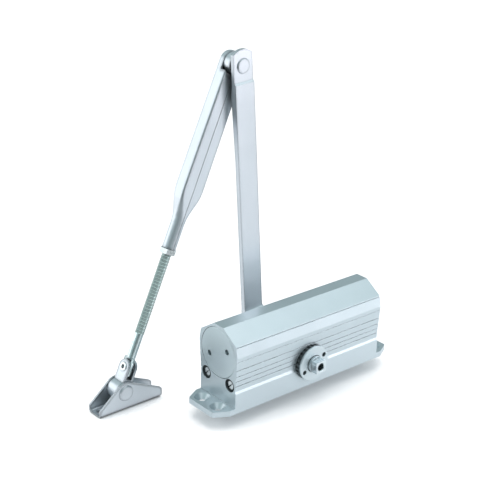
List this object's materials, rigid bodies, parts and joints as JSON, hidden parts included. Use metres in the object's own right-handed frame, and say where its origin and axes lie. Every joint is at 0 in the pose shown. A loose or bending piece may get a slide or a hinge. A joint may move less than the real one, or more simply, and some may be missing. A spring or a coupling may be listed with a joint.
{
  "type": "door closer",
  "caption": "Surface-mounted door closer: grooved body on a screw-down base, with a cranked main arm, an adjustable forearm and a pivoting frame shoe.",
  "frame": {"origin": "centre of the four door screw holes, on the mounting face", "axes": "+X along the body away from the two valve screws, +Y towards the side that carries the arm, +Z out of the mounting face"},
  "size_m": [0.2365, 0.1023, 0.2662],
  "materials": {
    "body_finish": "satin silver-grey enamel on extruded aluminium",
    "cap_finish": "satin silver-grey, dark in the notches",
    "arm_paint": "satin silver enamel on steel",
    "plated_steel": "bright zinc plate",
    "machined_steel": "machined",
    "bearing_brass": "machined",
    "seal_rubber": "matt black",
    "black_collar": "matt black"
  },
  "bodies": {
    "housing": {"housing": "body_finish", "end_plug_left": "body_finish", "end_plug_right": "body_finish", "plug_ring_left": "seal_rubber", "plug_ring_right": "seal_rubber", "closing_valve_collar": "black_collar", "latching_valve_collar": "black_collar", "return_spring": "machined_steel", "spring_seat": "machined_steel", "pinion_cap_front": "cap_finish", "pinion_cap_back": "cap_finish", "pinion_bearing_front": "bearing_brass", "pinion_bearing_back": "bearing_brass", "shaft_seal_front": "seal_rubber", "shaft_seal_back": "seal_rubber"},
    "closing_valve": {"closing_valve_screw": "plated_steel", "closing_valve_ring": "seal_rubber"},
    "latching_valve": {"latching_valve_screw": "plated_steel", "latching_valve_ring": "seal_rubber"},
    "piston": {"piston": "machined_steel", "check_valve": "bearing_brass"},
    "pinion": {"pinion_shaft": "machined_steel", "main_arm": "arm_paint", "arm_screw": "plated_steel", "arm_washer": "plated_steel", "elbow_rivet": "arm_paint", "elbow_washer": "plated_steel"},
    "forearm": {"forearm": "arm_paint", "elbow_spacer": "arm_paint"},
    "lock_nut": {"lock_nut": "plated_steel"},
    "rod": {"adjusting_rod": "plated_steel"},
    "link": {"shoe_link": "arm_paint", "link_rivet": "plated_steel"},
    "shoe": {"shoe_bracket": "arm_paint", "shoe_pin": "arm_paint"}
  },
  "joints": [
    {"name": "pinion_turn", "type": "hinge", "parent": "housing", "child": "pinion", "pos_m": [0, 0, 0.0208], "axis": [0, 1, 0], "range_deg": [0, 180], "stiffness_Nm_per_rad": 1.1, "springref_deg": -159.28},
    {"name": "piston_slide", "type": "slide", "parent": "housing", "child": "piston", "axis": [1, 0, 0], "range_m": [0, 0.0283], "deforming": ["return_spring"]},
    {"name": "elbow", "type": "hinge", "parent": "pinion", "child": "forearm", "pos_m": [-0.01481, 0.05925, 0.242], "axis": [0, 1, 0], "range_deg": [-15, 150]},
    {"name": "rod_adjust", "type": "slide", "parent": "forearm", "child": "rod", "axis": [-0.4099, 0, -0.9121], "range_m": [-0.04, 0.025]},
    {"name": "lock_nut_turn", "type": "hinge", "parent": "forearm", "child": "lock_nut", "pos_m": [-0.07601, 0.05925, 0.10583], "axis": [-0.4099, 0, -0.9121], "continuous": true},
    {"name": "link_tilt", "type": "hinge", "parent": "rod", "child": "link", "pos_m": [-0.11471, 0.05925, 0.01972], "axis": [-0.9121, 0, 0.4099], "range_deg": [-25, 25]},
    {"name": "shoe_pivot", "type": "hinge", "parent": "link", "child": "shoe", "pos_m": [-0.12226, 0.05925, 0.00292], "axis": [0, 1, 0], "range_deg": [-45, 105]},
    {"name": "closing_valve_turn", "type": "hinge", "parent": "housing", "child": "closing_valve", "pos_m": [-0.07, -0.0139, 0.0213], "axis": [1, 0, 0], "range_deg": [-360, 180]},
    {"name": "latching_valve_turn", "type": "hinge", "parent": "housing", "child": "latching_valve", "pos_m": [-0.07, 0.0139, 0.0213], "axis": [1, 0, 0], "range_deg": [-360, 180]}
  ],
  "couplings": [
    {"joint": "piston_slide", "follows": "pinion_turn", "m_per_rad": 0.009}
  ]
}
